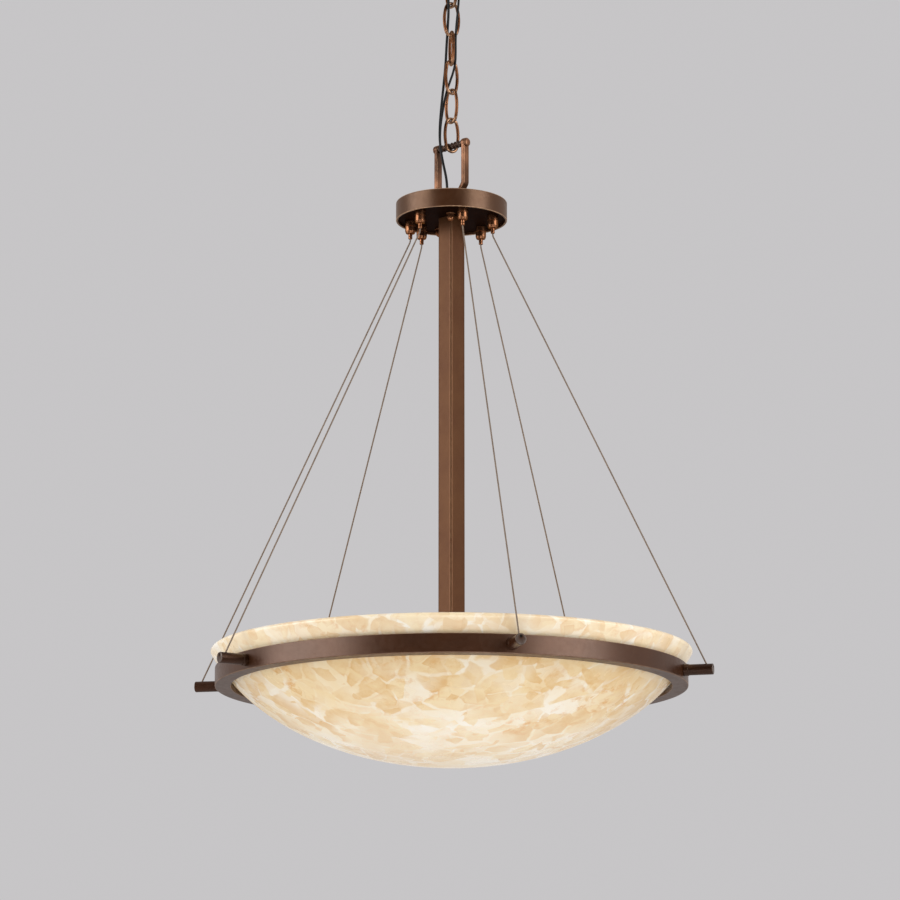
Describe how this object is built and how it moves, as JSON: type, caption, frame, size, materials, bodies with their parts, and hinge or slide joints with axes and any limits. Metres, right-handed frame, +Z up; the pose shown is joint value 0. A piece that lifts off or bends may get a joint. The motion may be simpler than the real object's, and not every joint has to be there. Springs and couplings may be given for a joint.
{
  "type": "bowl pendant light",
  "caption": "Chain-hung bowl pendant: a mottled translucent bowl in a bronze ring, held by wire cables and adjustable grippers under a round hub with a square stem.",
  "frame": {"origin": "on the ceiling plane, at the middle of the canopy and its crossbar", "axes": "+Z up into the ceiling, -Y towards the viewer of the picture, +X to the viewer's right"},
  "size_m": [0.5271, 0.5076, 0.8945],
  "materials": {
    "bronze": "satin dark bronze",
    "chain": "rubbed copper bronze",
    "gripper": "satin copper bronze",
    "dark_steel": "dark oiled",
    "steel": "zinc plated",
    "ground_screw": "green",
    "cable": "bronzed wire rope",
    "cord": "smooth black jacket",
    "bushing": "black",
    "pads": "translucent silicone",
    "bowl": "polished resin with stone chips",
    "porcelain": "white glaze",
    "brass": "bright",
    "bulb_cap": "rolled thread",
    "bulb_glass": "frosted white"
  },
  "bodies": {
    "ceiling_mount": {"canopy": "bronze", "crossbar": "steel", "ground_screw": "ground_screw", "canopy_nipple": "steel", "nipple_lock_nut": "steel", "canopy_collar": "bronze", "canopy_loop": "bronze", "supply_cord": "cord", "earth_wire": "cord"},
    "link_6": {"chain_link_6": "chain"},
    "link_5": {"chain_link_5": "chain"},
    "link_4": {"chain_link_4": "chain"},
    "link_3": {"chain_link_3": "chain"},
    "link_2": {"chain_link_2": "chain"},
    "link_1": {"chain_link_1": "chain"},
    "plunger_1": {"gripper_plunger_1": "gripper"},
    "plunger_2": {"gripper_plunger_2": "gripper"},
    "plunger_3": {"gripper_plunger_3": "gripper"},
    "plunger_4": {"gripper_plunger_4": "gripper"},
    "plunger_5": {"gripper_plunger_5": "gripper"},
    "plunger_6": {"gripper_plunger_6": "gripper"},
    "bowl_shade": {"bowl": "bowl"},
    "lamp": {"yoke_strap": "bronze", "yoke_cap_nuts": "bronze", "hub_cup": "bronze", "hub_plate": "bronze", "ring": "bronze", "ring_pins": "bronze", "stem": "bronze", "cluster_body": "bronze", "lamp_arms": "bronze", "cluster_lock_nut": "bronze", "gripper_barrels": "gripper", "plate_cap_nuts": "gripper", "yoke_rod": "dark_steel", "yoke_bolt": "dark_steel", "set_screws": "dark_steel", "gripper_nuts": "steel", "gripper_springs": "steel", "pin_screws": "steel", "stem_upper_plug": "steel", "stem_lower_plug": "steel", "cluster_nipple": "steel", "cable_1": "cable", "cable_2": "cable", "cable_3": "cable", "cable_4": "cable", "cable_5": "cable", "cable_6": "cable", "cord_bushing": "bushing", "bowl_pads": "pads", "lampholder_1": "porcelain", "lampholder_2": "porcelain", "lampholder_3": "porcelain", "screw_shells": "brass", "bulb_caps": "bulb_cap", "bulb_1": "bulb_glass", "bulb_2": "bulb_glass", "bulb_3": "bulb_glass"}
  },
  "joints": [
    {"name": "link_6_swing", "type": "hinge", "parent": "ceiling_mount", "child": "link_6", "pos_m": [0, 0, -0.0575], "axis": [0.9848, 0.1736, 0], "range_deg": [-15, 15], "deforming": ["supply_cord", "earth_wire"]},
    {"name": "link_5_swing", "type": "hinge", "parent": "link_6", "child": "link_5", "pos_m": [0, 0, -0.08885], "axis": [-0.6428, 0.766, 0], "range_deg": [-15, 15], "deforming": ["supply_cord", "earth_wire"]},
    {"name": "link_4_swing", "type": "hinge", "parent": "link_5", "child": "link_4", "pos_m": [0, 0, -0.12075], "axis": [0.9397, 0.342, 0], "range_deg": [-15, 15], "deforming": ["supply_cord", "earth_wire"]},
    {"name": "link_3_swing", "type": "hinge", "parent": "link_4", "child": "link_3", "pos_m": [0, 0, -0.15265], "axis": [-0.225, 0.9744, 0], "range_deg": [-15, 15], "deforming": ["supply_cord", "earth_wire"]},
    {"name": "link_2_swing", "type": "hinge", "parent": "link_3", "child": "link_2", "pos_m": [0, 0, -0.18455], "axis": [0.7431, 0.6691, 0], "range_deg": [-15, 15], "deforming": ["supply_cord", "earth_wire"]},
    {"name": "link_1_swing", "type": "hinge", "parent": "link_2", "child": "link_1", "pos_m": [0, 0, -0.21645], "axis": [0.6947, -0.7193, 0], "range_deg": [-15, 15], "deforming": ["supply_cord", "earth_wire"]},
    {"name": "lamp_swing", "type": "hinge", "parent": "link_1", "child": "lamp", "pos_m": [0, 0, -0.24255], "axis": [0.7193, -0.6947, 0], "range_deg": [-15, 15], "deforming": ["supply_cord", "earth_wire"]},
    {"name": "plunger_1_press", "type": "slide", "parent": "lamp", "child": "plunger_1", "axis": [0, 0, 1], "range_m": [0, 0.002], "stiffness_N_per_m": 300, "springref_m": -0.0005, "deforming": ["gripper_springs"]},
    {"name": "plunger_2_press", "type": "slide", "parent": "lamp", "child": "plunger_2", "axis": [0, 0, 1], "range_m": [0, 0.002], "stiffness_N_per_m": 300, "springref_m": -0.0005, "deforming": ["gripper_springs"]},
    {"name": "plunger_3_press", "type": "slide", "parent": "lamp", "child": "plunger_3", "axis": [0, 0, 1], "range_m": [0, 0.002], "stiffness_N_per_m": 300, "springref_m": -0.0005, "deforming": ["gripper_springs"]},
    {"name": "plunger_4_press", "type": "slide", "parent": "lamp", "child": "plunger_4", "axis": [0, 0, 1], "range_m": [0, 0.002], "stiffness_N_per_m": 300, "springref_m": -0.0005, "deforming": ["gripper_springs"]},
    {"name": "plunger_5_press", "type": "slide", "parent": "lamp", "child": "plunger_5", "axis": [0, 0, 1], "range_m": [0, 0.002], "stiffness_N_per_m": 300, "springref_m": -0.0005, "deforming": ["gripper_springs"]},
    {"name": "plunger_6_press", "type": "slide", "parent": "lamp", "child": "plunger_6", "axis": [0, 0, 1], "range_m": [0, 0.002], "stiffness_N_per_m": 300, "springref_m": -0.0005, "deforming": ["gripper_springs"]},
    {"name": "bowl_lift", "type": "slide", "parent": "lamp", "child": "bowl_shade", "axis": [0, 0, 1], "range_m": [0, 0.01]}
  ]
}
